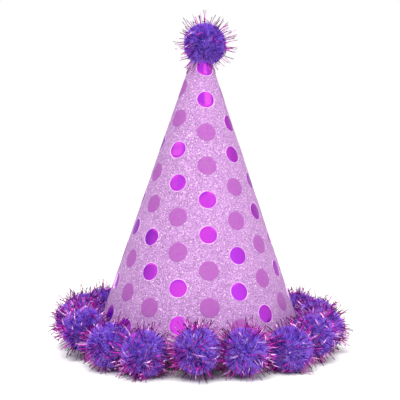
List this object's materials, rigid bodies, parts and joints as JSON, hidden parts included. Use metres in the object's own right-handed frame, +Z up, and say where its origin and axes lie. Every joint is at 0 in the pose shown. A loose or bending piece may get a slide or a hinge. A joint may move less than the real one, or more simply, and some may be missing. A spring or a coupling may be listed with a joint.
{
  "type": "party hat",
  "caption": "Cone party hat of glitter-faced card with round foil dots, a ring of tinsel pompoms on the rim and one pompom over the tip.",
  "frame": {"origin": "on the table under the hat, on the cone's axis", "axes": "+Z up along the cone's axis, -Y to the front, the lap at the back on +Y"},
  "size_m": [0.1769, 0.1798, 0.2018],
  "materials": {
    "white_card": "matte",
    "lilac_glitter_film": "satin",
    "clear_adhesive": "satin",
    "bright_magenta_foil": "polished",
    "satin_mauve_foil": "satin",
    "hot_melt_glue": "satin",
    "violet_pompom_yarn": "matte",
    "tying_thread": "matte"
  },
  "bodies": {
    "root": {"card_cone": "white_card", "glitter_sheet": "lilac_glitter_film", "seam_strip": "clear_adhesive", "foil_dots_bright": "bright_magenta_foil", "foil_dots_satin": "satin_mauve_foil", "rim_glue_dots": "hot_melt_glue", "tip_glue": "hot_melt_glue", "top_pompom": "violet_pompom_yarn", "top_pompom_tie": "tying_thread", "rim_pompom_ties": "tying_thread", "rim_pompom_01": "violet_pompom_yarn", "rim_pompom_02": "violet_pompom_yarn", "rim_pompom_03": "violet_pompom_yarn", "rim_pompom_04": "violet_pompom_yarn", "rim_pompom_05": "violet_pompom_yarn", "rim_pompom_06": "violet_pompom_yarn", "rim_pompom_07": "violet_pompom_yarn", "rim_pompom_08": "violet_pompom_yarn", "rim_pompom_09": "violet_pompom_yarn", "rim_pompom_10": "violet_pompom_yarn", "rim_pompom_11": "violet_pompom_yarn", "rim_pompom_12": "violet_pompom_yarn", "rim_pompom_13": "violet_pompom_yarn", "rim_pompom_14": "violet_pompom_yarn", "rim_pompom_15": "violet_pompom_yarn", "rim_pompom_16": "violet_pompom_yarn", "rim_pompom_17": "violet_pompom_yarn", "rim_pompom_18": "violet_pompom_yarn"}
  },
  "joints": []
}
